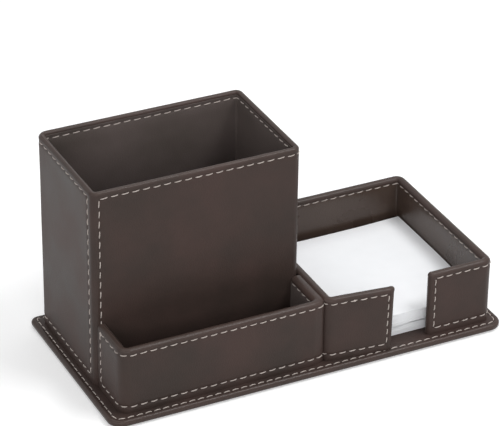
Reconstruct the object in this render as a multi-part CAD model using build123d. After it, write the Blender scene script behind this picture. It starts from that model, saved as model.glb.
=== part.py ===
from build123d import *
import os
from math import cos, radians, sin

# Desk organiser wrapped in stitched leatherette: a thin base that carries a tall pen cup, an open
# card tray in front of the cup, and a memo tray beside them with a finger gap in its front.
# Millimetres. The origin is the middle of the base's underside; +X is to the right of a person
# who faces the organiser, +Y is towards its back and +Z is up.

# ---- sheet materials ----
skin = 0.7                  # leatherette, for the covers and the linings alike
cup_board = 1.6             # rigid board in the walls of the pen cup
tray_board = 3.0            # rigid board in the walls of both trays
base_board = 2.0            # rigid board inside the base
arris = 0.35                # share of a board's half thickness that is taken off along its edges
fold = 0.5                  # least inner radius that the lining is bent to in a corner
felt = 0.6                  # felt under the base

# ---- memo sheets, which the memo tray and the base are made to ----
sheet_side = 80.0           # square sheets
stack_height = 13.8
stack_front_gap = 3.2       # from the wings' inner faces to the stack
stack_back_gap = 2.7        # from the stack to the back wall's lining
stack_left_gap = 2.4
stack_right_gap = 0.8

# ---- base ----
base_corner = 7.0           # corner radius of its outline
base_edge = 1.5             # roll of its edge, above and below
hem = 12.0                  # how far the base cover is turned in underneath
felt_inset = 3.0            # from the base's outline to the felt's edge

# ---- pen cup ----
cup_left_margin = 5.1       # from the base's left edge to the cup's left face
cup_back_margin = 4.1       # from the base's back edge to the cup's back face
cup_width = 107.2
cup_depth = 67.0
cup_top = 108.6             # height of its rim above the desk
cup_corner = 3.8            # outer radius of its upright corners
floor_board = 1.3           # board of the loose floor in the cup
floor_gap = 0.3             # from that floor's edge to the lining

# ---- trays ----
tray_top = 38.7             # height of both trays' rims above the desk
tray_front_margin = 5.3     # from the base's front edge to the trays' front faces
card_left_inset = 1.7       # from the cup's left face to the card tray's left face
card_corner = 5.5           # outer radius of the card tray's upright corners
tray_gap = 0.8              # between the memo tray and the pieces at its left
memo_right_margin = 4.9     # from the base's right edge to the memo tray's right face
memo_back_margin = 3.5      # from the base's back edge to the memo tray's back face
memo_corner = 5.0           # outer radius of the memo tray's upright corners
wing_length = 35.4          # each front wing, from the tray's side face to its free end
left_wing_splay = 5.3       # degrees that the left wing leans out from the front line

# ---- sizes that follow from them ----
cup_wall = skin + cup_board + skin
tray_wall = skin + tray_board + skin
memo_width = tray_wall + stack_left_gap + sheet_side + stack_right_gap + tray_wall
memo_depth = tray_wall + stack_front_gap + sheet_side + stack_back_gap + tray_wall
base_width = cup_left_margin + cup_width + tray_gap + memo_width + memo_right_margin
base_depth = tray_front_margin + memo_depth + memo_back_margin

# ---- heights and lines that follow from them ----
base_under = felt                                   # underside of the base cover
base_top = felt + skin + base_board + skin          # the surface that everything stands on
cup_left = -base_width / 2 + cup_left_margin
cup_right = cup_left + cup_width
cup_back = base_depth / 2 - cup_back_margin
cup_front = cup_back - cup_depth
tray_front = -base_depth / 2 + tray_front_margin
card_left = cup_left + card_left_inset
memo_left = cup_right + tray_gap
memo_right = memo_left + memo_width
memo_back = tray_front + memo_depth


# ---- wall sections, drawn across a wall: X is outwards from its middle, Y is up ----
def band(left, right, bottom, top):
    """A rectangle of a wall section."""
    return Pos((left + right) / 2, (bottom + top) / 2) * Rectangle(right - left, top - bottom)


def round_topped(width, top):
    """A section that stands on the base and ends in a half-round top."""
    spring = top - width / 2
    return band(-width / 2, width / 2, base_top, spring) + Pos(0, spring) * Circle(width / 2)


def board_section(wall, board, top):
    """The rigid board, with the arrises taken off along its top edge."""
    section = band(-board / 2, board / 2, base_top, top - (wall - board) / 2)
    return chamfer(section.vertices().group_by(Axis.Y)[-1], arris * board / 2)


def lining_section(wall, board, top):
    """The inner skin, from the base up to where the rim begins to roll."""
    return band(-wall / 2, -board / 2, base_top, top - wall / 2)


def cover_section(wall, board, top):
    """The outer skin, up the outside and rolled over the board to meet the lining."""
    return round_topped(wall, top) - board_section(wall, board, top) - lining_section(wall, board, top)


def outer_half(section, wall, top):
    """The part of a section that lies outwards of the wall's middle."""
    return section & band(0, wall, 0, top + wall)


# ---- walls: a section carried along the middle line of a wall, clockwise seen from above ----
def bend(corner, wall):
    """The radius of a wall's middle line in a corner, never so tight that the lining creases."""
    return max(corner, wall + fold) - wall / 2


def section_plane(place, tangent):
    """The upright plane across a wall, with X pointing out of the box that the wall encloses."""
    return Plane(place, x_dir=Vector(0, 0, 1).cross(tangent), z_dir=tangent)


def along(section, path):
    """One skin or board, carried along a path."""
    return sweep(section_plane(path @ 0, path % 0) * section, path=path)


def free_end(section, wall, top, place, tangent, turn):
    """The rounded upright end of a wall: half of its section, turned about the wall's middle."""
    half = section_plane(place, tangent) * outer_half(section, wall, top)
    return revolve(half, axis=Axis(place, (0, 0, turn)), revolution_arc=180)


def with_free_ends(section, wall, top, path):
    """A skin or board that also wraps round both ends of its wall."""
    start = free_end(section, wall, top, path @ 0, path % 0, 1)
    end = free_end(section, wall, top, path @ 1, path % 1, -1)
    return along(section, path) + start + end


def wall_paths(path, closed):
    """The path of each wall by itself, parted at the middle of every corner."""
    edges = path.order_edges()
    if closed and edges[0].geom_type == GeomType.CIRCLE:
        edges = edges[1:] + edges[:1]
    count = len(edges)
    paths = []
    for place in range(0, count, 2):
        pieces = [edges[place]]
        if closed or place > 0:
            pieces.insert(0, edges[place - 1].trim(0.5, 1))
        if closed or place < count - 1:
            pieces.append(edges[(place + 1) % count].trim(0, 0.5))
        paths.append(Wire(pieces))
    return paths


# ---- base ----
def base_slab(inset, corner, bottom, top):
    """A slab with the base's outline, set in on all sides."""
    outline = RectangleRounded(base_width - 2 * inset, base_depth - 2 * inset, corner)
    return Pos(0, 0, bottom) * extrude(outline, top - bottom)


def rims(slab):
    """The edges round the bottom face and the top face of a slab."""
    return slab.faces().sort_by(Axis.Z)[0].edges() + slab.faces().sort_by(Axis.Z)[-1].edges()


def make_base():
    """The base board, the cover that is wrapped round it and hemmed below, and the felt."""
    board_bottom = base_under + skin
    board = base_slab(skin, base_corner - skin, board_bottom, board_bottom + base_board)
    board = chamfer(rims(board), arris * base_board / 2)
    wrapped = base_slab(0, base_corner, base_under, base_top)
    hem_opening = base_slab(hem, base_corner / 2, base_under, board_bottom)
    roll = min(base_edge, 0.45 * (base_top - base_under))
    cover = fillet(rims(wrapped), roll) - board - hem_opening
    sole = base_slab(felt_inset, base_corner - felt_inset, 0, base_under)
    return {"base_board": board, "base_cover": cover, "base_felt": sole + hem_opening}


# ---- pen cup ----
def make_cup():
    """Four mitred boards, one outer cover, one lining and the lined floor that drops in."""
    middle = cup_wall / 2
    corners = [
        (cup_right - middle, cup_front + middle),
        (cup_left + middle, cup_front + middle),
        (cup_left + middle, cup_back - middle),
        (cup_right - middle, cup_back - middle),
    ]
    path = FilletPolyline(*corners, radius=bend(cup_corner, cup_wall), close=True)
    parts = {
        "pen_cup_cover": along(cover_section(cup_wall, cup_board, cup_top), path),
        "pen_cup_lining": along(lining_section(cup_wall, cup_board, cup_top), path),
    }
    board = board_section(cup_wall, cup_board, cup_top)
    for wall in wall_paths(path, closed=True):
        parts["pen_cup_board_" + side_of(wall)] = along(board, wall)
    return parts | {"pen_cup_floor": make_cup_floor()}


def side_of(wall):
    """Which side of its box a wall stands on, from the direction that it runs in."""
    way = wall % 0.5
    if abs(way.X) > abs(way.Y):
        return "front" if way.X < 0 else "back"
    return "left" if way.Y > 0 else "right"


def make_cup_floor():
    """A board covered in leatherette, loose in the bottom of the cup."""
    inset = cup_wall + floor_gap
    outline = RectangleRounded(
        cup_width - 2 * inset,
        cup_depth - 2 * inset,
        max(cup_corner - inset, skin),
    )
    centre = Pos((cup_left + cup_right) / 2, (cup_front + cup_back) / 2, base_top)
    return centre * extrude(outline, floor_board + skin)


# ---- card tray ----
def make_card_tray():
    """Three boards in one cover and one lining, whose open side is closed by the pen cup."""
    middle = tray_wall / 2
    points = [
        (cup_right - middle, cup_front),
        (cup_right - middle, tray_front + middle),
        (card_left + middle, tray_front + middle),
        (card_left + middle, cup_front),
    ]
    path = FilletPolyline(*points, radius=bend(card_corner, tray_wall))
    parts = {
        "card_tray_cover": along(cover_section(tray_wall, tray_board, tray_top), path),
        "card_tray_lining": along(lining_section(tray_wall, tray_board, tray_top), path),
    }
    board = board_section(tray_wall, tray_board, tray_top)
    for wall in wall_paths(path, closed=False):
        parts["card_tray_board_" + side_of(wall)] = along(board, wall)
    return parts


# ---- memo tray ----
def memo_path():
    """The middle line of the memo tray's walls, from the left wing's free end to the right one's."""
    middle = tray_wall / 2
    front = tray_front + middle
    reach = wing_length - 2 * middle
    lean = radians(left_wing_splay)
    return FilletPolyline(
        (memo_left + middle + reach * cos(lean), front - reach * sin(lean)),
        (memo_left + middle, front),
        (memo_left + middle, memo_back - middle),
        (memo_right - middle, memo_back - middle),
        (memo_right - middle, front),
        (memo_right - middle - reach, front),
        radius=bend(memo_corner, tray_wall),
    )


def make_memo_tray():
    """Five boards in one cover that is rolled round the wings' free ends, and one lining."""
    path = memo_path()
    cover = cover_section(tray_wall, tray_board, tray_top)
    board = board_section(tray_wall, tray_board, tray_top)
    walls = wall_paths(path, closed=False)
    left_end = free_end(board, tray_wall, tray_top, path @ 0, path % 0, 1)
    right_end = free_end(board, tray_wall, tray_top, path @ 1, path % 1, -1)
    return {
        "memo_tray_cover": with_free_ends(cover, tray_wall, tray_top, path),
        "memo_tray_lining": along(lining_section(tray_wall, tray_board, tray_top), path),
        "memo_tray_board_left_wing": along(board, walls[0]) + left_end,
        "memo_tray_board_left": along(board, walls[1]),
        "memo_tray_board_back": along(board, walls[2]),
        "memo_tray_board_right": along(board, walls[3]),
        "memo_tray_board_right_wing": along(board, walls[4]) + right_end,
    }


# ---- memo sheets ----
def make_memo_sheets():
    """The stack of loose square sheets that lies in the memo tray."""
    left = memo_left + tray_wall + stack_left_gap
    front = tray_front + tray_wall + stack_front_gap
    middle = Pos(left + sheet_side / 2, front + sheet_side / 2, base_top + stack_height / 2)
    return {"memo_sheets": middle * Box(sheet_side, sheet_side, stack_height)}


parts = make_base() | make_cup() | make_card_tray() | make_memo_tray() | make_memo_sheets()
os.makedirs("parts", exist_ok=True)
for name, shape in parts.items():
    export_step(shape, "parts/" + name + ".step")
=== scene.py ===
import math

import bmesh
import bpy
import numpy as np
from mathutils import Matrix, Vector


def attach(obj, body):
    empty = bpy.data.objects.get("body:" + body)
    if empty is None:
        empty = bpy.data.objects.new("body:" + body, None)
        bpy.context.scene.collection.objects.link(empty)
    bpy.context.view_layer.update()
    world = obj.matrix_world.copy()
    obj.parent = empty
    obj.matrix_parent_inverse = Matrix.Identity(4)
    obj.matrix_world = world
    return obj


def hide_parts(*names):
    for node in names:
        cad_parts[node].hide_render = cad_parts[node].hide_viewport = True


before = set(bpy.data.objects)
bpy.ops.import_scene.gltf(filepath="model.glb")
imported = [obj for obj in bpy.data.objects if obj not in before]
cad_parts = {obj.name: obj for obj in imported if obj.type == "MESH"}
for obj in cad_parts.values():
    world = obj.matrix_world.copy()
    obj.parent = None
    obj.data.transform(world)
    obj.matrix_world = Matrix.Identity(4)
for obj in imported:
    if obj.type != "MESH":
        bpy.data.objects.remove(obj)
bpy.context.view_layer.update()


# ---- Base board ----
# Under everything lies a plate of greyboard, pressed from waste paper and cut with a knife. The cover hides
# it, as the wall boards are hidden, so all of them keep the frame's own shape and get the one material.
def linear(code):
    """A colour written as an sRGB hex value, as the shader's linear one."""
    parts = [int(code[place:place + 2], 16) / 255 for place in (1, 3, 5)]
    bent = [part / 12.92 if part <= 0.04045 else ((part + 0.055) / 1.055) ** 2.4 for part in parts]
    return (*bent, 1.0)


def new_material(name):
    """An empty material with its shader, and the tree that the rest of it grows in."""
    material = bpy.data.materials.new(name)
    material.use_nodes = True
    return material, material.node_tree


def add(tree, kind, settings=None, links=None):
    """Adds one node: its settings and input values, then the sockets that feed it."""
    node = tree.nodes.new("ShaderNode" + kind)
    for name, value in (settings or {}).items():
        if isinstance(name, str) and hasattr(node, name):
            setattr(node, name, value)
        else:
            node.inputs[name].default_value = value
    for name, source in (links or {}).items():
        tree.links.new(source, node.inputs[name])
    return node


def shader_of(tree, settings, links):
    """Sets the material's own shader: plain values straight on its sockets, and what varies by links."""
    shader = tree.nodes["Principled BSDF"]
    for name, value in settings.items():
        shader.inputs[name].default_value = value
    for name, source in links.items():
        tree.links.new(source, shader.inputs[name])


def wear_finish(node, material):
    """Gives a node of the frame, whose shape stays as it is, its finish."""
    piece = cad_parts[node]
    piece.data.materials.clear()
    piece.data.materials.append(material)


# Greyboard: grey-brown pulp with darker fibres about 1.1 mm apart, matt and slightly rough to the touch.
greyboard, tree = new_material("greyboard_pressed")
spot = add(tree, "TexCoord").outputs["Object"]
fibres = add(tree, "TexNoise", {"Scale": 900.0, "Detail": 3.0}, {"Vector": spot})
greys = {"data_type": "RGBA", 6: linear("#8e887c"), 7: linear("#a8a294")}
pulp = add(tree, "Mix", greys, {0: fibres.outputs[0]})
rough_cut = add(tree, "Bump", {"Strength": 0.3, "Distance": 0.0001}, {"Height": fibres.outputs[0]})
shader_of(tree, {"Roughness": 0.9}, {"Base Color": pulp.outputs[2], "Normal": rough_cut.outputs[0]})
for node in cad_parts:
    if "board" in node:
        wear_finish(node, greyboard)


# ---- Base felt ----
# The sole is a sheet of needle-punched polyester felt, glued under the base inside the turned-in cover,
# so that the organiser doesn't scratch the desk. Its flat sheet is the frame's own.
# Felt: near-black in clumps of 4 mm, with a nap of crossed fibres about 0.3 mm apart that scatters the light.
felt, tree = new_material("felt_needle_punched")
spot = add(tree, "TexCoord").outputs["Object"]
nap = add(tree, "TexNoise", {"Scale": 3300.0, "Detail": 4.0, "Roughness": 0.7}, {"Vector": spot})
clumps = add(tree, "TexNoise", {"Scale": 260.0, "Detail": 2.0}, {"Vector": spot})
blacks = {"data_type": "RGBA", 6: linear("#191716"), 7: linear("#2c2827")}
black = add(tree, "Mix", blacks, {0: clumps.outputs[0]})
fuzz = add(tree, "Bump", {"Strength": 0.8, "Distance": 0.0002}, {"Height": nap.outputs[0]})
shader_of(
    tree,
    {"Roughness": 0.95, "Specular IOR Level": 0.2, "Sheen Weight": 0.3, "Sheen Roughness": 0.6},
    {"Base Color": black.outputs[2], "Normal": fuzz.outputs[0]},
)
wear_finish("base_felt", felt)


# ---- Base cover ----
# One sheet of leatherette lies over the base board, is rolled round its edge and turned in below. A row of
# stitches, 2.9 mm from the edge, holds it all the way round, and pulls it down into a shallow valley.
class WallLine:
    """A line seen from above, clockwise: straight runs with a bend at each corner.

    A place on it is a mark: the number of the run or bend, and after the point how far along it.
    """

    def __init__(self, corners, bend, closed=False):
        points = [np.array(corner, float) for corner in corners]
        count = len(points)
        radii = np.broadcast_to(bend, count)
        runs = count if closed else count - 1
        ways = [points[(i + 1) % count] - points[i] for i in range(runs)]
        ways = [way / np.linalg.norm(way) for way in ways]
        bends = {}
        for i in range(0 if closed else 1, count if closed else count - 1):
            before, after = ways[i - 1], ways[i]
            turn = math.atan2(before[1] * after[0] - before[0] * after[1], before @ after)
            cut = radii[i] * math.tan(turn / 2)
            outwards = np.array([-before[1], before[0]])
            bends[i] = (turn, cut, points[i] - before * cut - outwards * radii[i], outwards, radii[i])
        self.pieces = []
        for i in range(runs):
            following = (i + 1) % count
            start = points[i] + ways[i] * (bends[i][1] if i in bends else 0)
            end = points[following] - ways[i] * (bends[following][1] if following in bends else 0)
            outwards = np.array([-ways[i][1], ways[i][0]])
            self.pieces.append((start, outwards, np.linalg.norm(end - start), 0.0, 0.0))
            if following in bends:
                turn, cut, middle, outwards, radius = bends[following]
                self.pieces.append((middle, outwards, 0.0, radius, turn))
        if closed:
            # the line begins and ends halfway round its first corner
            middle, outwards, run, radius, turn = self.pieces.pop()
            halfway = self.turned(outwards, turn / 2)
            self.pieces.insert(0, (middle, halfway, run, radius, turn / 2))
            self.pieces.append((middle, outwards, run, radius, turn / 2))
        self.closed = closed
        self.origin, self.outwards, self.run, self.radius, self.turn = (
            np.array([piece[i] for piece in self.pieces]) for i in range(5)
        )

    @staticmethod
    def turned(way, angle):
        """A direction, or many, turned clockwise."""
        way, angle = np.asarray(way, float), np.asarray(angle, float)
        x, y = way[..., 0], way[..., 1]
        return np.stack([x * np.cos(angle) + y * np.sin(angle), y * np.cos(angle) - x * np.sin(angle)], -1)

    def at(self, marks):
        """The places on the line, and the directions that point outwards there."""
        marks = np.asarray(marks, float)
        piece = np.clip(marks.astype(int), 0, len(self.pieces) - 1)
        share = marks - piece
        outwards = self.turned(self.outwards[piece], self.turn[piece] * share)
        tangent = np.stack([self.outwards[piece][:, 1], -self.outwards[piece][:, 0]], -1)
        place = self.origin[piece] + tangent * (self.run[piece] * share)[:, None]
        return place + outwards * self.radius[piece][:, None], outwards

    def face(self, reach):
        """Where each piece begins, measured along the face that lies that far outside the line."""
        return np.concatenate([[0], np.cumsum(self.run + self.turn * (self.radius + reach))])

    def length(self, reach):
        """How long that face is."""
        return self.face(reach)[-1]

    def marks(self, along, reach):
        """The marks of distances along a face."""
        starts = self.face(reach)
        along = np.asarray(along, float)
        piece = np.clip(np.searchsorted(starts, along, "right") - 1, 0, len(self.pieces) - 1)
        return piece + np.clip((along - starts[piece]) / np.diff(starts)[piece], 0, 0.999999)

    def along(self, marks, reach):
        """The distances of marks along a face."""
        starts = self.face(reach)
        piece = np.clip(np.asarray(marks).astype(int), 0, len(self.pieces) - 1)
        return starts[piece] + np.diff(starts)[piece] * (marks - piece)

    def bent(self, marks):
        """How much of a corner each mark is in: 1 halfway round a bend, and 0 on a run."""
        piece = np.clip(np.asarray(marks).astype(int), 0, len(self.pieces) - 1)
        share = marks - piece
        if self.closed:
            share = np.where(piece == len(self.pieces) - 1, share / 2, share)
            share = np.where(piece == 0, share / 2 + 0.5, share)
        return np.where(self.turn[piece] > 0, np.sin(np.pi * share), 0.0)


class Seam:
    """A straight row of stitches on a face, between two places: how far along the face, and how high.

    The pitch is from hole to hole and the dash is the thread that shows. The valley is a quarter of a
    millimetre deep, with a deeper dimple at each hole.
    """

    depth, width, dimple, run_out = 0.24, 0.8, 0.45, 0.8

    def __init__(self, start, end, pitch, dash, slant=0.0):
        self.start, self.end = np.array(start, float), np.array(end, float)
        self.length = np.linalg.norm(self.end - self.start)
        self.count = max(1, round(self.length / pitch))
        self.pitch = self.length / self.count
        self.dash = dash * self.pitch / pitch
        self.way = (self.end - self.start) / self.length
        self.slant = slant

    def holes(self):
        """How far along the seam each stitch goes in and comes out."""
        first = (self.pitch - self.dash) / 2 + np.arange(self.count) * self.pitch
        return first, first + self.dash

    def relief(self, along, height):
        """The valley that the thread pulls: deepest at the holes, and shallow between two stitches."""
        offset = np.stack([along - self.start[0], height - self.start[1]], -1)
        down = offset @ self.way
        aside = offset @ np.array([-self.way[1], self.way[0]])
        step = np.mod(down, self.pitch)
        into, out = (self.pitch - self.dash) / 2, (self.pitch + self.dash) / 2
        hole = sum(np.exp(-(((step - place) / self.dimple) ** 2)) for place in (into, out))
        begun = np.clip((down + self.run_out) / self.run_out, 0, 1)
        left = np.clip((self.length + self.run_out - down) / self.run_out, 0, 1)
        valley = np.exp(-((aside / self.width) ** 2)) * (0.6 + 0.6 * hole)
        puff = 0.22 * np.exp(-(((np.abs(aside) - 2.3 * self.width) / (1.1 * self.width)) ** 2))
        return -self.depth * (begun * left) * (valley - puff)

    def columns(self):
        """The distances along the seam at which the leather has to have a point."""
        into, out = self.holes()
        on_thread = [into, into + 0.3 * self.dash, into + 0.7 * self.dash, out]
        between = out + (self.pitch - self.dash) / 2
        return np.concatenate([[0, self.length], *on_thread, between])


def spread(wanted, closed_length=None):
    """Sorted distances with none nearer than 0.3 mm to the one before."""
    kept, least = [], 0.3
    for value in sorted(wanted):
        if not kept or value - kept[-1] >= least:
            kept.append(value)
    if closed_length is not None and closed_length - kept[-1] < least:
        kept.pop()
    return np.array(kept)


def undulation(along, height):
    """The slow unevenness of glued leather over a board, a few hundredths of a millimetre."""
    waves = np.sin(along / 9.1 + 0.7) * np.sin(height / 7.3 + 0.2) + 0.6 * np.sin(along / 4.3 + height / 5.9)
    return 0.035 * waves


sharp_fold = math.radians(42)  # the leather looks smooth over any fold flatter than this


def new_piece(name, points, faces, material):
    """A mesh of points given in millimetres, as an object in the scene."""
    mesh = bpy.data.meshes.new(name)
    mesh.from_pydata((points / 1000).tolist(), [], faces)
    mesh.materials.append(material)
    piece = bpy.data.objects.new(name, mesh)
    bpy.context.scene.collection.objects.link(piece)
    return piece


def leather_piece(node, blocks, material):
    """Joins grids of points into one closed skin, which rides on the organiser in the place of its node."""
    points, faces, wear_and_highlight = [], [], []
    for grid, worn_and_highlit, round_again in blocks:
        many, deep = grid.shape[:2]
        first = sum(len(earlier) for earlier in points)
        index = first + np.arange(many * deep).reshape(many, deep)
        points.append(grid.reshape(-1, 3))
        wear_and_highlight.append(np.broadcast_to(worn_and_highlit, (many, deep)).reshape(-1))
        after = np.roll(index, -1, 0) if round_again else index[1:]
        before = index if round_again else index[:-1]
        below = np.roll(index, -1, 1)
        below_before = below if round_again else below[:-1]
        below_after = np.roll(below, -1, 0) if round_again else below[1:]
        faces.append(np.stack([before, after, below_after, below_before], -1).reshape(-1, 4))
    points, wear_and_highlight, faces = np.concatenate(points), np.concatenate(wear_and_highlight), np.concatenate(faces)
    piece = new_piece(node + "_leather", points, faces.tolist(), material)
    wear_and_highlight_at_points = piece.data.attributes.new("wear_and_highlight", "FLOAT", "POINT")
    wear_and_highlight_at_points.data.foreach_set("value", wear_and_highlight.astype(np.float32))
    cloth = bmesh.new()
    cloth.from_mesh(piece.data)
    bmesh.ops.remove_doubles(cloth, verts=cloth.verts[:], dist=2e-6)
    bmesh.ops.dissolve_degenerate(cloth, edges=cloth.edges[:], dist=1e-7)
    bmesh.ops.holes_fill(cloth, edges=[edge for edge in cloth.edges if edge.is_boundary], sides=0)
    bmesh.ops.recalc_face_normals(cloth, faces=cloth.faces[:])
    for face in cloth.faces:
        face.smooth = True
    for edge in cloth.edges:
        edge.smooth = not (edge.is_manifold and edge.calc_face_angle(0) > sharp_fold)
    cloth.to_mesh(piece.data)
    cloth.free()
    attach(piece, "organiser")
    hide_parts(node)


# Leatherette: woven backing with a polyurethane coat, embossed with a fine calf grain and finished satin.
# It gives dark brown with a soft grey sheen where it leans towards the light. The real grain is about
# 0.5 mm across, too fine to show, so the cells are drawn 1.3 mm across and shallow. The dye clouds over
# 26 mm.
def leatherette_material(name, dark, pale, rub_and_highlight, sheen, roughness):
    """The brown of one side of the roll, from its darkest to its palest, and the paler colour on rims: rubbed
    wear there, and a painted highlight.
    """
    material, tree = new_material(name)
    spot = add(tree, "TexCoord").outputs["Object"]
    cells = {"feature": "DISTANCE_TO_EDGE", "Scale": 770.0, "Randomness": 1.0}
    grain = add(tree, "TexVoronoi", cells, {"Vector": spot})
    crease = add(tree, "MapRange", {1: 0.0, 2: 0.28, 3: 0.0, 4: 1.0}, {0: grain.outputs["Distance"]})
    fine = add(tree, "TexNoise", {"Scale": 1900.0, "Detail": 3.0, "Roughness": 0.6}, {"Vector": spot})
    cloud = add(tree, "TexNoise", {"Scale": 38.0, "Detail": 3.0, "Roughness": 0.55}, {"Vector": spot})
    spread_out = add(tree, "MapRange", {1: 0.32, 2: 0.68, 3: 0.0, 4: 1.0}, {0: cloud.outputs[0]})
    browns = {"data_type": "RGBA", 6: linear(dark), 7: linear(pale)}
    brown = add(tree, "Mix", browns, {0: spread_out.outputs[0]})
    # the rims' paler colour is mixed in by the point attribute: rubbed wear, and a painted highlight on the
    # crowns
    worn_and_highlit = add(tree, "Attribute", {"attribute_name": "wear_and_highlight"})
    rub_and_highlight_patches = add(tree, "Math", {"operation": "MULTIPLY"}, {0: worn_and_highlit.outputs["Fac"], 1: fine.outputs[0]})
    rub_and_highlight_on_rims = {"data_type": "RGBA", 7: linear(rub_and_highlight)}
    colour = add(tree, "Mix", rub_and_highlight_on_rims, {0: rub_and_highlight_patches.outputs[0], 6: brown.outputs[2]})
    embossed = add(tree, "Math", {"operation": "MULTIPLY", 1: 0.35}, {0: fine.outputs[0]})
    height = add(tree, "Math", {"operation": "ADD"}, {0: crease.outputs[0], 1: embossed.outputs[0]})
    bump = add(tree, "Bump", {"Strength": 0.22, "Distance": 0.00012}, {"Height": height.outputs[0]})
    uneven = {1: 0.3, 2: 0.7, 3: roughness - 0.05, 4: roughness + 0.05}
    gloss = add(tree, "MapRange", uneven, {0: cloud.outputs[0]})
    polished = add(tree, "Math", {"operation": "MULTIPLY", 1: 0.21}, {0: worn_and_highlit.outputs["Fac"]})
    rough = add(tree, "Math", {"operation": "SUBTRACT"}, {0: gloss.outputs[0], 1: polished.outputs[0]})
    shader_of(
        tree,
        {"IOR": 1.48, "Specular IOR Level": sheen},
        {"Base Color": colour.outputs[2], "Roughness": rough.outputs[0], "Normal": bump.outputs[0]},
    )
    return material


# the third colour is the paler one of rims and rounded edges: rubbed wear, and a painted highlight
leatherette = leatherette_material(
    "leatherette_calf_grain_satin", "#382f2b", "#433531", "#4b3f3a", sheen=0.17, roughness=0.45
)

base_under, base_top = 0.6, 4.0
skin = 0.7  # how thick the leather is
board_share = 0.35  # how much of a board's half thickness is bevelled
base_width, base_depth, base_roll = 210.0, 103.5, 1.5
base_corners = np.array([7.0, 4.0, 7.0, 7.0])  # from the front left; the one at the back left is sharper
base_seam_inset, base_pitch, base_dash = 2.9, 4.5, 3.4
base_flat, base_hem = 6.5, 12.0  # how far from the edge the flat part begins, and how wide the hem below is


def outline(inset):
    """The base's outline, set in on all sides."""
    x, y = base_width / 2 - inset, base_depth / 2 - inset
    return WallLine([(-x, -y), (-x, y), (x, y), (x, -y)], np.maximum(base_corners - inset, 0.5), closed=True)


edge_line = outline(0)
reach = -base_seam_inset
length = edge_line.length(reach)
base_seam = Seam((0, base_seam_inset), (length, base_seam_inset), base_pitch, base_dash, -0.25)
bend_columns = edge_line.along(
    np.concatenate([np.arange(len(edge_line.pieces)) + share for share in (0, 0.2, 0.4, 0.6, 0.8)]), reach
)
columns = spread(np.concatenate([base_seam.columns()[2:], bend_columns]), length)
marks = edge_line.marks(columns, reach)
place, outwards = edge_line.at(marks)
# the section, from the flat part over the seam, round the rolled edge and on to the flat part below
over_seam = np.array([base_flat, 5.4, 4.6, 4.0, 3.5, 3.2, 2.9, 2.6, 2.3, 1.9])
under_edge = np.array([2.6, 4.0, base_flat])
rolled = np.radians(np.linspace(90, -90, 13))
section = np.concatenate([-over_seam, -base_roll + base_roll * np.cos(rolled), -under_edge])
middle_up = np.where(rolled >= 0, base_top - base_roll, base_under + base_roll)
up = np.concatenate([
    np.full(len(over_seam), base_top),
    middle_up + base_roll * np.sin(rolled),
    np.full(len(under_edge), base_under),
])
lean_out = np.concatenate([np.zeros(len(over_seam)), np.cos(rolled), np.zeros(len(under_edge))])
lean_up = np.concatenate([np.ones(len(over_seam)), np.sin(rolled), np.zeros(len(under_edge))])
inset = -section[None, :] * np.ones((len(marks), 1))
valley = base_seam.relief(columns[:, None] * np.ones_like(inset), inset) * (lean_up > 0.2)
valley = np.clip(valley, -1, 0.0)
grid = np.empty((len(marks), len(section), 3))
for row, offset in enumerate(section):
    grid[:, row, :2] = outline(-offset).at(marks)[0]
grid[..., :2] += outwards[:, None] * (lean_out * valley)[..., None]
grid[..., 2] = up + lean_up * valley
# inside the seam the sheet goes on, flat, to a line along the middle of the base
spine_end = (base_width - base_depth) / 2
spine = np.stack([np.clip(place[:, 0], -spine_end, spine_end), 0 * place[:, 0]], -1)


def towards_spine(shares, height):
    """Rings of the flat part, from the last ring by the edge to the middle line."""
    ring = outline(base_flat).at(marks)[0]
    flat = ring[:, None] * (1 - shares[None, :, None]) + spine[:, None] * shares[None, :, None]
    return np.concatenate([flat, np.full(flat.shape[:2] + (1,), height)], -1)


def rings(places):
    """Rings round the base, each of them so far inside the edge and so high."""
    return np.stack([np.column_stack([outline(inset).at(marks)[0], np.full(len(marks), high)])
                     for inset, high in places], 1)


flat_shares = np.array([1.0, 0.75, 0.5, 0.3, 0.15, 0.05])
board_under, board_top, bevel = base_under + skin, base_top - skin, 0.35
hem = rings([(base_hem, base_under), (base_hem, board_under)])
hidden = rings([
    (base_flat, board_under), (skin + bevel, board_under), (skin, board_under + bevel),
    (skin, board_top - bevel), (skin + bevel, board_top), (base_flat, board_top),
])
top, inner_face = towards_spine(flat_shares, base_top), towards_spine(flat_shares[::-1], board_top)
sheet = np.concatenate([top, grid, hem, hidden, inner_face], 1)
worn_and_highlit = np.zeros(sheet.shape[1])
edge_rows = len(flat_shares) + len(over_seam)
# the rolled edge gets the paler rim colour most where it turns up towards the lamps: rubbed wear, and a
# painted highlight
worn_and_highlit[edge_rows:edge_rows + len(rolled)] = np.clip(1.2 * np.sin(rolled + 0.6), 0, 1)
leather_piece("base_cover", [(sheet, worn_and_highlit, True)], leatherette)


# ---- Thread of the base seam ----
# Two plies of polyester, bonded, run in a lockstitch: each stitch comes up through one hole, lies in the
# valley for 3.4 mm with a slight slant, and goes down through the next. The pale thread is the only ornament.
# Bonded polyester: a light warm grey, with a dull shine along each ply. The plies turn once in 1.4 mm, and
# the dye varies over 2.4 mm. The filaments are finer than a tenth of a millimetre, and drawn 0.17 mm apart.
thread, tree = new_material("thread_bonded_polyester")
spot = add(tree, "TexCoord").outputs["Object"]
dye = add(tree, "TexNoise", {"Scale": 420.0, "Detail": 2.0}, {"Vector": spot})
yarns = {"data_type": "RGBA", 6: linear("#a1968f"), 7: linear("#bdb3ac")}
yarn = add(tree, "Mix", yarns, {0: dye.outputs[0]})
filaments = add(tree, "TexNoise", {"Scale": 6000.0, "Detail": 2.0}, {"Vector": spot})
strands = add(tree, "Bump", {"Strength": 0.3, "Distance": 0.00004}, {"Height": filaments.outputs[0]})
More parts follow.
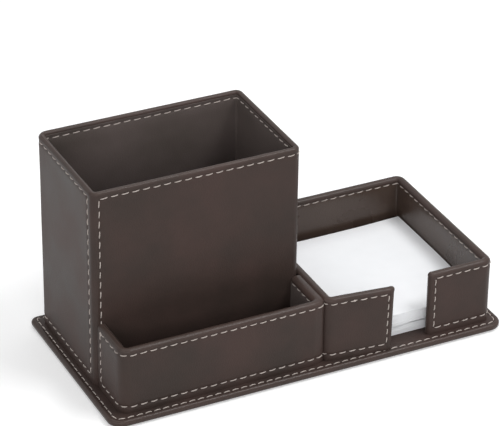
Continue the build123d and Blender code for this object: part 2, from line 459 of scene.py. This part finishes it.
shader_of(
    tree,
    {"Roughness": 0.55, "Specular IOR Level": 0.4, "Sheen Weight": 0.15, "Sheen Roughness": 0.4},
    {"Base Color": yarn.outputs[2], "Normal": strands.outputs[0]},
)

thread_radius, thread_turn = 0.26, 1.4
valley_floor = 0.16  # how deep under the face the thread's middle line starts
thread_dip, thread_rise = 0.42, 0.62  # how far it dives from there at the holes, and comes up between them


def stitch_tubes(seam, on_face):
    """Closed tubes, one for each stitch of a seam: rings of points along its line over the leather."""
    shares = np.array([0, 0.05, 0.12, 0.22, 0.36, 0.5, 0.64, 0.78, 0.88, 0.95, 1.0])
    into, out = seam.holes()
    down = into[:, None] + (out - into)[:, None] * shares
    wobble = 0.06 * np.sin(np.arange(seam.count) * 2.4)[:, None]
    aside = seam.slant * (shares - 0.5)[None] + wobble
    lift = -thread_dip + thread_rise * np.sin(np.pi * shares) ** 0.45
    flat = seam.start + down[..., None] * seam.way + aside[..., None] * np.array([-seam.way[1], seam.way[0]])
    line, normal = on_face(flat[..., 0], flat[..., 1])
    line = line + normal * lift[None, :, None]
    tangent = np.gradient(line, axis=1)
    tangent /= np.linalg.norm(tangent, axis=-1, keepdims=True)
    side = np.cross(tangent, normal)
    side /= np.linalg.norm(side, axis=-1, keepdims=True)
    top = np.cross(side, tangent)
    around = np.linspace(0, 2 * np.pi, 8, endpoint=False)
    thick = thread_radius * np.array([0.5, 0.8, 0.95, 1, 1, 1, 1, 1, 0.95, 0.8, 0.5])
    plies = 1 + 0.13 * np.cos(2 * around[None] - 2 * np.pi * (shares * seam.dash / thread_turn)[:, None])
    size = thick[:, None] * plies
    ring = np.cos(around)[:, None] * side[:, :, None] + np.sin(around)[:, None] * top[:, :, None]
    return line[:, :, None] + ring * size[None, :, :, None]


def thread_piece(name, tubes):
    """All the stitches of one part, as one piece that rides on the organiser."""
    points, faces, first = [], [], 0
    for tube in tubes:
        stitches, rings, sides = tube.shape[:3]
        index = first + np.arange(stitches * rings * sides).reshape(stitches, rings, sides)
        points.append(tube.reshape(-1, 3))
        first += tube.size // 3
        beside = np.roll(index, -1, 2)
        around = [index[:, :-1], beside[:, :-1], beside[:, 1:], index[:, 1:]]
        faces += np.stack(around, -1).reshape(-1, 4).tolist()
        faces += index[:, 0, ::-1].reshape(-1, sides).tolist() + index[:, -1].reshape(-1, sides).tolist()
    piece = new_piece(name, np.concatenate(points), faces, thread)
    piece.data.shade_smooth()
    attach(piece, "organiser")


def on_base(along, inset):
    """Places on the bottom of the base's seam valley, and the way up from it."""
    place, outwards = edge_line.at(edge_line.marks(along.ravel(), reach))
    high = np.full(len(place), base_top - valley_floor)
    sewn = np.column_stack([place - outwards * inset.reshape(-1, 1), high])
    return sewn.reshape(along.shape + (3,)), np.broadcast_to([0.0, 0.0, 1.0], along.shape + (3,))


thread_piece("base_thread", [stitch_tubes(base_seam, on_base)])


# ---- Walls of the pen cup ----
# Four mitred boards stand on the base in one outer cover, whose ends meet in the front left corner between
# two upright seams. The cover is rolled over the rim and sewn to the lining 3 mm below it, all round.
beside_seam = [-1.9, -1.2, -0.75, -0.4, 0, 0.4, 0.75, 1.2, 1.9]  # where a valley's shape needs points
unseen = -99  # the place up the leather of what lies inside, against the board


def inside_rows(places):
    """Rows of a section that nobody sees, each of them so far outwards and so high."""
    return [(out, high, 0, 0, unseen, 0) for out, high in places]


def wall_rows(wall, top, seam_heights):
    """The cover's section: up the face, over the rim, and back down inside the leather, clockwise.

    Each row is how far outwards it lies, how high, the way its surface looks, its place up the leather and
    how much rub and painted highlight it gets, most on the top of the crown.
    """
    half, step = wall / 2, 2.0
    spring = top - half
    heights = set(np.round(np.arange(base_top, spring, step), 4)) | {base_top, spring}
    for seam_height in seam_heights:
        heights -= {high for high in heights if abs(high - seam_height) < 2.0 and base_top < high < spring}
        heights |= {seam_height + off for off in beside_seam if base_top < seam_height + off < spring}
    rows = [(half, high, 1.0, 0.0, high, 0.0) for high in sorted(heights)]
    # round the crown the leather gets the paler rim colour, most on its top: rubbed wear, and a painted
    # highlight
    for angle in np.radians(np.linspace(0, 180, 17))[1:]:
        out, up = math.cos(angle), math.sin(angle)
        rows.append((half * out, spring + half * up, out, up, spring + half * angle, up))
    board = half - skin
    cut = board_share * board
    ledge = top - skin
    return np.array(rows + inside_rows([
        (-board, spring), (-board, ledge - cut), (-board + cut, ledge),
        (board - cut, ledge), (board, ledge - cut), (board, base_top),
    ]))


def lay(line, marks, reach, rows, seams, puffed=None, pressed=None):
    """Lays leather along a line: the grid of its points, and how much rub and painted highlight each one
    gets.

    It may be puffed up from the board behind, or pressed out sideways, in which case the rim goes with it.
    """
    place, outwards = line.at(marks)
    along = line.along(marks, reach)[:, None] * np.ones((1, len(rows)))
    height = np.ones((len(marks), 1)) * rows[:, 4]
    relief = undulation(along, height)
    for seam in seams:
        relief = relief + seam.relief(along, height)
    if puffed:
        relief = relief + puffed(along, height)
    relief = relief * ((rows[:, 2] != 0) | (rows[:, 3] != 0))
    relief = relief * np.where(rows[:, 1] <= base_top + 0.01, 0, 1)
    relief = np.where(rows[:, 3] > 0.3, np.minimum(relief, -0.01), relief)  # the crown stays under its height
    grid = np.empty(along.shape + (3,))
    grid[..., :2] = place[:, None] + outwards[:, None] * (rows[:, 0] + rows[:, 2] * relief)[..., None]
    grid[..., 2] = rows[:, 1] + rows[:, 3] * relief
    if pressed:
        outer_share = np.clip(rows[:, 0] / (2 * rows[0, 0]) + 0.5, 0, 1)
        grid[..., :2] += outwards[:, None] * (pressed(along, height) * outer_share)[..., None]
    # rounded corners get a little of the same rub and painted highlight
    rub_and_highlight = np.maximum(rows[:, 5], 0.12 * line.bent(marks)[:, None] * (rows[:, 4] > 0))
    return grid, rub_and_highlight


def wall_columns(line, reach, seams, uprights=()):
    """Marks along a wall: at its seams' holes, through its bends, and on both sides of an upright seam."""
    length, last_gap = line.length(reach), 0.3
    shares = np.linspace(0, 1, 9)[:-1]
    in_bends = np.concatenate([piece + shares for piece in range(len(line.pieces)) if line.turn[piece] > 0])
    wanted = [line.along(in_bends, reach), line.face(reach)[:-1]]
    wanted += [seam.start[0] + seam.columns() for seam in seams]
    wanted += [upright + np.array(beside_seam) for upright in uprights]
    wanted = np.concatenate(wanted)
    wanted = wanted[(wanted >= 0) & (wanted < length - (0 if line.closed else last_gap))]
    if line.closed:
        return line.marks(spread(wanted, length), reach)
    return np.concatenate([line.marks(spread(wanted), reach), [len(line.pieces) - 1e-9]])


cup_left, cup_right, cup_front, cup_back, cup_top = -99.9, 7.3, -19.35, 47.65, 108.6
cup_wall, cup_corner, cup_back_left_corner = 3.0, 3.8, 4.9
cup_pitch, cup_dash, cup_seam_drop, cup_seam_foot = 5.3, 3.6, 3.2, 4.3
cup_seam_sides = (5.0, 3.7)  # from the front left edge to the upright seam on the left face and on the front


def on_wall(line, reach, pressed=None):
    """A function that gives places in the valley of a face's seam, and the way that the face looks."""
    side = 1 if reach > 0 else -1

    def on_face(along, height):
        place, outwards = line.at(line.marks(along.ravel(), reach))
        swell = pressed(along.ravel(), height.ravel())[:, None] if pressed else 0
        sewn = np.column_stack([place + outwards * (reach - side * valley_floor + swell), height.ravel()])
        normal = np.column_stack([outwards * side, np.zeros(len(place))])
        return sewn.reshape(along.shape + (3,)), normal.reshape(along.shape + (3,))

    return on_face


half = cup_wall / 2
cup_line = WallLine(
    [(cup_left + half, cup_front + half), (cup_left + half, cup_back - half),
     (cup_right - half, cup_back - half), (cup_right - half, cup_front + half)],
    np.array([cup_corner, cup_back_left_corner, cup_corner, cup_corner]) - half, closed=True,
)
cup_round = cup_line.length(half)
on_left, on_front = (math.pi / 4 * cup_corner + side - cup_corner for side in cup_seam_sides)
on_front = cup_round - on_front
top_seam, foot_seam = cup_top - cup_seam_drop, base_top + cup_seam_foot
cup_seams = [
    Seam((on_left, top_seam), (on_front, top_seam), cup_pitch, cup_dash, -0.3),
    Seam((on_left, foot_seam), (on_front, foot_seam), cup_pitch, cup_dash, -0.3),
    Seam((on_left, foot_seam), (on_left, top_seam), cup_pitch, cup_dash, 0.3),
    Seam((on_front, foot_seam), (on_front, top_seam), cup_pitch, cup_dash, 0.3),
]


def corner_ridge(along, height):
    """The full, rounded ridge of leather between the two upright seams."""
    proud, half_wide = 0.25, 2.0
    from_corner = np.minimum(along, cup_round - along)
    return proud * np.exp(-((from_corner / half_wide) ** 4)) * (height > 0)


rows = wall_rows(cup_wall, cup_top, [top_seam, foot_seam])
marks = wall_columns(cup_line, half, cup_seams[:2], [on_left, on_front])
grid, rub_and_highlight = lay(cup_line, marks, half, rows, cup_seams, puffed=corner_ridge)
leather_piece("pen_cup_cover", [(grid, rub_and_highlight, True)], leatherette)
thread_piece("pen_cup_thread_outside", [stitch_tubes(seam, on_wall(cup_line, half)) for seam in cup_seams])


# ---- Lining of the pen cup ----
# The inside has its own sheet of leatherette, glued to the boards before the cover is rolled over them. Its
# seam is the other side of the one outside, where the lockstitch comes through. The floor board is lined too.
def lining_rows(wall, top, seam_height):
    """The lining's section: down the inner face, and up again against the board."""
    half, step, pared = wall / 2, 4.0, 0.15
    spring = top - half
    heights = set(np.round(np.arange(base_top, spring, step), 4)) | {base_top, spring - pared}
    heights = {high for high in heights
               if abs(high - seam_height) > 1.3 or high == base_top or high > spring - 0.2}
    heights |= {seam_height + off for off in beside_seam[1:-1] if seam_height + off < spring - 0.25}
    rows = [(-half + pared, spring, -0.7, 0.7, spring, 0.3)]
    rows += [(-half, high, -1.0, 0.0, high, 0.0) for high in sorted(heights, reverse=True)]
    return np.array(rows + inside_rows([(-half + skin, base_top), (-half + skin, spring)]))


# The lining is the same make and grain as the cover, drawn paler: painted lighter for the light that the
# inside lacks.
# It is seldom touched, so it is plain and has no polish.
lining_leather_painted_lighter = leatherette_material(
    "leatherette_lining_matt_painted_lighter", "#544c48", "#5f5552", "#5a504c", sheen=0.30, roughness=0.45
)

cup_inside = cup_line.length(-half)
inner_seam = top_seam - 0.3
cup_inner_seam = Seam((0, inner_seam), (cup_inside, inner_seam), cup_pitch, cup_dash, 0.3)
rows = lining_rows(cup_wall, cup_top, inner_seam)
marks = wall_columns(cup_line, -half, [cup_inner_seam])
grid, rub_and_highlight = lay(cup_line, marks, -half, rows, [cup_inner_seam])
leather_piece("pen_cup_lining", [(grid, rub_and_highlight, True)], lining_leather_painted_lighter)
thread_piece("pen_cup_thread_inside", [stitch_tubes(cup_inner_seam, on_wall(cup_line, -half))])
wear_finish("pen_cup_floor", lining_leather_painted_lighter)


# ---- Card tray ----
# Three boards, one cover and one lining make a low open tray against the front of the pen cup. Its seams run
# along the rim and the foot, and straight down where the wall meets the cup. On the right the cover swells
# against the memo tray.
card_left, tray_front, tray_top = -98.2, -46.45, 38.7
tray_wall, card_corner = 4.4, 5.5
tray_pitch, tray_dash, tray_seam_drop, tray_seam_foot = 5.05, 3.4, 2.9, 3.6
half = tray_wall / 2
card_line = WallLine(
    [(cup_right - half, cup_front), (cup_right - half, tray_front + half),
     (card_left + half, tray_front + half), (card_left + half, cup_front)],
    card_corner - half,
)
card_round = card_line.length(half)
tray_top_seam, tray_foot_seam = tray_top - tray_seam_drop, base_top + tray_seam_foot
seam_from_end = 3.1


def framed(near, far, slant):
    """The seams that frame one side of a tray: along the rim and the foot, and up both ends."""
    sizes = (tray_pitch, tray_dash)
    return [
        Seam((near, tray_top_seam), (far, tray_top_seam), *sizes, slant),
        Seam((near, tray_foot_seam), (far, tray_foot_seam), *sizes, slant),
        Seam((near, tray_foot_seam), (near, tray_top_seam), *sizes, -slant),
        Seam((far, tray_foot_seam), (far, tray_top_seam), *sizes, -slant),
    ]


def pressed_side(start, end, swell):
    """The leather's swelling where the two trays stand so close that they press on each other."""
    fading = 4.0

    def swollen(along, height):
        near = np.clip(np.minimum(along - start, end - along) / fading + 1, 0, 1)
        return swell * near * (height > 0)

    return swollen


def knot(along, height, size):
    """Where a seam begins and ends, its last stitches are sewn over each other and stand up as a knot."""
    ways = size * np.array([(0.2, 1.1), (0.9, 0.7), (1.1, 0.0), (0.8, -0.8), (0.5, 0.3)])
    return [Seam((along - aside, height - up), (along + aside, height + up), 2.0, 1.9) for aside, up in ways]


near, far = seam_from_end, card_round - seam_from_end
card_seams = framed(near, far, -0.3)
card_knot = knot(far - 0.4, tray_top_seam - 0.5, 1.1)
right_wall_end = card_line.face(half)[1]
card_swell = 1.7
pressed = pressed_side(0, right_wall_end + 2.5, card_swell)
rows = wall_rows(tray_wall, tray_top, [tray_top_seam, tray_foot_seam])
marks = wall_columns(card_line, half, card_seams[:2], [near, far])
grid, rub_and_highlight = lay(card_line, marks, half, rows, card_seams, pressed=pressed)
leather_piece("card_tray_cover", [(grid, rub_and_highlight, False)], leatherette)
inner_start, inner_end = 0.6, card_line.length(-half) - 0.6
card_inner_seam = Seam((inner_start, tray_top_seam), (inner_end, tray_top_seam), tray_pitch, tray_dash, 0.3)
rows = lining_rows(tray_wall, tray_top, tray_top_seam)
marks = wall_columns(card_line, -half, [card_inner_seam])
grid, rub_and_highlight = lay(card_line, marks, -half, rows, [card_inner_seam])
leather_piece("card_tray_lining", [(grid, rub_and_highlight, False)], lining_leather_painted_lighter)
thread_piece(
    "card_tray_thread",
    [stitch_tubes(seam, on_wall(card_line, half, pressed)) for seam in card_seams + card_knot]
    + [stitch_tubes(card_inner_seam, on_wall(card_line, -half))],
)


# ---- Memo tray ----
# Five boards stand round the sheets. The front is two short wings with a gap for a thumb, and the cover goes
# round their free ends. The left wing was set 5.3 degrees askew, and has sagged since.
memo_left, memo_right, memo_back, memo_corner = 8.1, 100.1, 48.25, 5.0
wing_length, left_wing_splay = 35.4, 5.3
front = tray_front + half
wing_reach = wing_length - tray_wall
lean = math.radians(left_wing_splay)
memo_line = WallLine(
    [(memo_left + half + wing_reach * math.cos(lean), front - wing_reach * math.sin(lean)),
     (memo_left + half, front), (memo_left + half, memo_back - half),
     (memo_right - half, memo_back - half), (memo_right - half, front),
     (memo_right - half - wing_reach, front)],
    memo_corner - half,
)
memo_round, memo_inside = memo_line.length(half), memo_line.length(-half)
wing_end = seam_from_end - half


def free_end(line, mark, rows, turn, point):
    """The rounded upright end of a wing: the outer half of the section, turned about the wall's middle.

    Where the cover was folded round the top corner, its folds may draw that corner out to a point.
    """
    half = tray_wall / 2
    peak = int(np.argmax(rows[:, 1]))
    crown = rows[:, 1][peak]
    outer = np.concatenate([rows[:peak + 1], inside_rows([(0, crown - skin)]), rows[-3:]])
    place, outwards = line.at(np.array([mark]))
    angles = np.radians(np.linspace(0, 180, 15)) * turn
    ways = line.turned(np.repeat(outwards, len(angles), 0), angles)
    grid = np.empty((len(angles), len(outer), 3))
    tip = -line.turned(outwards[0], math.pi / 2 * -turn)
    beyond = (ways @ tip)[:, None] * outer[:, 0]
    spring = crown - half
    over = np.clip(outer[:, 1] - spring, 0, None)
    drawn = point * 2 * beyond * over / half**2 * (outer[:, 4] > 0)
    grid[..., :2] = place[:, None] + ways[:, None] * outer[:, 0, None] + (drawn * beyond)[..., None] * tip
    grid[..., 2] = outer[:, 1] + drawn * over
    # round the free end the leather gets half as much rub and painted highlight as on a crown
    rub_and_highlight = np.maximum(outer[:, 5], 0.5 * np.sin(np.abs(angles))[:, None] * (outer[:, 4] > 0))
    return grid, rub_and_highlight, False


def slumped(points):
    """The left wing has sagged outwards with use, most at the top of its free end."""
    stiff, sag = 8, np.array([0.35, -0.8, 0.0])
    x, y, z = points[..., 0], points[..., 1], points[..., 2]
    along = np.clip((x - memo_left - stiff) / (wing_length - stiff), 0, 1.1)
    share = along**1.5 * (z - base_top) / (tray_top - base_top)
    share = share * (y < tray_front + 10) * (x < memo_left + wing_length + 6)
    return points + share[..., None] * sag


near, far = wing_end, memo_round - wing_end
memo_seams = framed(near, far, -0.3)
left_wall_start, left_wall_end = memo_line.face(half)[2:4]
memo_swell = 0.3
pressed = pressed_side(left_wall_start, left_wall_end - 4.0, memo_swell)
rows = wall_rows(tray_wall, tray_top, [tray_top_seam, tray_foot_seam])
marks = wall_columns(memo_line, half, memo_seams[:2], [near, far])
grid, rub_and_highlight = lay(memo_line, marks, half, rows, memo_seams, pressed=pressed)
blocks = [
    (grid, rub_and_highlight, False),
    free_end(memo_line, marks[0], rows, -1, 0.3),
    free_end(memo_line, marks[-1], rows, 1, 0.15),
]
blocks = [(slumped(grid), worn_and_highlit, again) for grid, worn_and_highlit, again in blocks]
leather_piece("memo_tray_cover", blocks, leatherette)

# The memo tray's lining is the same cloth, made glossy by hands that take the sheets. Its colours are painted
# lighter than the cover's for the light that the inside lacks, and a little darker than the cup's lining, so
# that its stronger gloss doesn't brighten it.
rubbed_lining_painted_lighter = leatherette_material(
    "leatherette_lining_rubbed_painted_lighter", "#41342d", "#4c3f38", "#52463f", sheen=0.42, roughness=0.30
)
near, far = wing_end, memo_inside - wing_end
memo_inner_seams = framed(near, far, 0.3)
del memo_inner_seams[1]  # the foot seam comes out under the sheets
rows = lining_rows(tray_wall, tray_top, tray_top_seam)
marks = wall_columns(memo_line, -half, memo_inner_seams[:1], [near, far])
grid, rub_and_highlight = lay(memo_line, marks, -half, rows, memo_inner_seams)
leather_piece("memo_tray_lining", [(slumped(grid), rub_and_highlight, False)], rubbed_lining_painted_lighter)
from_wing_end = 18.2  # the rim seam was closed on the left wing, so that its knot is there
memo_knot = knot(from_wing_end, tray_top_seam, 0.55)
thread_piece(
    "memo_tray_thread",
    [slumped(stitch_tubes(seam, on_wall(memo_line, half))) for seam in memo_seams + memo_knot]
    + [slumped(stitch_tubes(seam, on_wall(memo_line, -half))) for seam in memo_inner_seams],
)


# ---- Memo sheets ----
# About 140 loose squares of writing paper, 80 mm a side, lie in the tray in two bundles. They are cut with a
# guillotine, and shift and curl a little as they are used. Three or four of them are drawn as one leaf.
# Uncoated paper: a cool white, matt, cloudy over 8 mm and with a tooth of 0.2 mm, and the grey of the gaps
# at its cut edges.
paper, tree = new_material("paper_uncoated_white")
spot = add(tree, "TexCoord").outputs["Object"]
cloud = add(tree, "TexNoise", {"Scale": 120.0, "Detail": 3.0}, {"Vector": spot})
whites = {"data_type": "RGBA", 6: linear("#f0f1f3"), 7: linear("#f5f6f8")}
white = add(tree, "Mix", whites, {0: cloud.outputs[0]})
tooth = add(tree, "TexNoise", {"Scale": 5000.0, "Detail": 2.0}, {"Vector": spot})
soft = add(tree, "Bump", {"Strength": 0.15, "Distance": 0.00003}, {"Height": tooth.outputs[0]})
shader_of(
    tree,
    {"Roughness": 0.85, "Specular IOR Level": 0.3},
    {"Base Color": white.outputs[2], "Normal": soft.outputs[0]},
)

sheet_side, leaf, leaf_gap = 80.0, 0.34, 0.02
stack_left, stack_front, stack_top = 14.9, -38.85, 17.8
lower_top = 9.9  # where the lower bundle ends
lower_shift, upper_shift = np.array([-0.2, -0.1]), np.array([0.25, -0.9])
lower_turn, upper_turn, unevenness = -0.2, 0.25, 0.05  # in degrees, and the last in millimetres too
wedge = 0.9  # how far each bundle curls away from the other at the front right


def stack_surface(x, y, level):
    """How high a leaf lies at a place: flat at the bottom, and slightly curled towards the top."""
    share = (level - base_top) / (stack_top - base_top)
    right = np.clip((x - stack_left - 45) / 35, 0, 1) ** 2
    front = np.clip((stack_front + 40 - y) / 40, 0, 1) ** 1.5
    dip = -1.5 * front * share
    return level + share * 0.8 * right * (1 - front) + dip


chance = np.random.default_rng(7)
points, faces = [], []
steps = 13
wide, deep = np.meshgrid(np.linspace(0, 1, steps) - 0.5, np.linspace(0, 1, steps) - 0.5, indexing="ij")
for number, level in enumerate(np.arange(base_top, stack_top - leaf + 0.01, leaf)):
    upper = level > lower_top
    turn = math.radians(chance.normal(0, unevenness) + (upper_turn if upper else lower_turn))
    shift = chance.normal(0, unevenness, 2) + (upper_shift if upper else lower_shift)
    x = stack_left + sheet_side / 2 + shift[0] + sheet_side * (wide * math.cos(turn) - deep * math.sin(turn))
    y = stack_front + sheet_side / 2 + shift[1] + sheet_side * (wide * math.sin(turn) + deep * math.cos(turn))
    z = stack_surface(x, y, level)
    front_right = np.clip((wide + 0.16) / 0.28, 0, 1) ** 1.5 * np.clip(0.9 - (deep + 0.5), 0, 1)
    near = np.clip(1 - abs(level - lower_top) / 6.0, 0, 1)
    z = z + (wedge if upper else -wedge) * near * front_right
    z = np.maximum(z, base_top + number * 0.2)  # the leaves below bear it
    first = len(points) * 2 * steps * steps
    top = np.stack([x, y, z + leaf - leaf_gap], -1).reshape(-1, 3)
    bottom = np.stack([x, y, z], -1).reshape(-1, 3)
    points.append(np.concatenate([top, bottom]))
    over = first + np.arange(steps * steps).reshape(steps, steps)
    under = over + steps * steps
    upper_side = [over[:-1, :-1], over[1:, :-1], over[1:, 1:], over[:-1, 1:]]
    lower_side = [under[:-1, :-1], under[:-1, 1:], under[1:, 1:], under[1:, :-1]]
    faces += np.stack(upper_side, -1).reshape(-1, 4).tolist()
    faces += np.stack(lower_side, -1).reshape(-1, 4).tolist()
    rim = np.concatenate([over[:-1, 0], over[-1, :-1], over[:0:-1, -1], over[0, :0:-1]])
    after = np.roll(rim, -1)
    faces += np.stack([rim, rim + steps * steps, after + steps * steps, after], -1).tolist()
sheets = new_piece("memo_sheets_loose", np.concatenate(points), faces, paper)
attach(sheets, "memo_stack")
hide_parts("memo_sheets")


# ---- Floor, light and camera ----
# A wide sheet of white studio paper, not part of the organiser. The camera and the glossy leather see it a
# little brighter than its diffuse light alone, so that it reads as white and still holds the shadow.
studio, tree = new_material("studio_paper")
shader_of(tree, {"Base Color": linear("#e9e9e9"), "Roughness": 1.0, "Specular IOR Level": 0.0}, {})


def seen_directly(tree):
    """1 for the rays by which the camera, a gloss or a glass sees the background, and 0 for its light."""
    path = add(tree, "LightPath")
    seen = path.outputs["Is Camera Ray"]
    for ray in ("Is Glossy Ray", "Is Transmission Ray"):
        seen = add(tree, "Math", {"operation": "MAXIMUM"}, {0: seen, 1: path.outputs[ray]}).outputs[0]
    return seen


# further out the lamps reach the paper less, so it is lifted more there
spot = add(tree, "TexCoord").outputs["Object"]
away = add(tree, "VectorMath", {"operation": "LENGTH"}, {0: spot})
lift = add(tree, "MapRange", {1: 0.4, 2: 3.0, 3: 0.34, 4: 0.85}, {0: away.outputs["Value"]})
lifted = add(tree, "Math", {"operation": "MULTIPLY"}, {0: lift.outputs[0], 1: seen_directly(tree)})
shader_of(tree, {"Emission Color": (1, 1, 1, 1)}, {"Emission Strength": lifted.outputs[0]})
floor_half = 8000
floor_corners = floor_half * np.array([(-1, -1, 0), (1, -1, 0), (1, 1, 0), (-1, 1, 0)])
floor = new_piece("floor", floor_corners, [(0, 1, 2, 3)], studio)

# the room around: white where it is seen, and dim as a light, so that the lamps shape the leather
room = bpy.data.worlds.new("studio_room")
bpy.context.scene.world = room
room.use_nodes = True
tree = room.node_tree
backdrop = tree.nodes["Background"]
backdrop.inputs["Color"].default_value = linear("#f4f6f8")
dim, brighter = 0.30, 0.70
seen_or_dim = add(tree, "Math", {"operation": "MULTIPLY_ADD", 1: brighter, 2: dim}, {0: seen_directly(tree)})
tree.links.new(seen_or_dim.outputs[0], backdrop.inputs["Strength"])


def softbox(name, place, aim, width, height, power):
    """A lamp behind a diffuser, in metres and watts, turned towards a place."""
    lamp = bpy.data.lights.new(name, "AREA")
    lamp.shape = "RECTANGLE"
    lamp.size, lamp.size_y, lamp.energy = width, height, power
    stand = bpy.data.objects.new(name, lamp)
    bpy.context.scene.collection.objects.link(stand)
    way = np.array(aim, float) - np.array(place, float)
    stand.location = place
    stand.rotation_mode = "QUATERNION"
    stand.rotation_quaternion = Vector(way).to_track_quat("-Z", "Y")


middle = (0, 0, 0.05)
softbox("overhead", (0.1, 0.35, 1.3), (0, 0, 0), 1.2, 1.0, 6.5)
softbox("front", (-0.62, -1.35, 0.72), middle, 1.3, 0.6, 8.0)
softbox("front_top", (0.50, -0.42, 1.10), middle, 0.6, 0.3, 7.0)
softbox("front_left", (-1.35, -0.45, 0.7), middle, 0.9, 0.9, 3.9)
softbox("front_right", (1.1, -0.9, 0.6), middle, 0.8, 0.8, 2.0)

# the camera stands off to the left and above, and is aimed a little left of the middle and above it
azimuth, elevation, roll = (math.radians(value) for value in (-26.27, 30.09, 0.65))
distance, aim_height, aim_right, aim_above = 1.3459, 0.035, -0.00853, 0.02570
frame_width, focal_length, film_width = 500, 2766.67, 36.0  # the first two are in pixels
back = np.array([
    math.sin(azimuth) * math.cos(elevation), -math.cos(azimuth) * math.cos(elevation), math.sin(elevation),
])
level_right = np.array([math.cos(azimuth), math.sin(azimuth), 0])
level_above = np.cross(back, level_right)
right = math.cos(roll) * level_right + math.sin(roll) * level_above
above = -math.sin(roll) * level_right + math.cos(roll) * level_above
target = np.array([0, 0, aim_height]) + right * aim_right + above * aim_above
lens = bpy.data.cameras.new("camera")
lens.sensor_width = film_width
lens.lens = focal_length * film_width / frame_width
lens.clip_start, lens.clip_end = 0.05, 50
camera = bpy.data.objects.new("camera", lens)
bpy.context.scene.collection.objects.link(camera)
turned = np.eye(4)
turned[:3] = np.column_stack([right, above, back, target + back * distance])
camera.matrix_world = Matrix(turned.tolist())
bpy.context.scene.camera = camera
bpy.context.scene.view_settings.view_transform = "Standard"
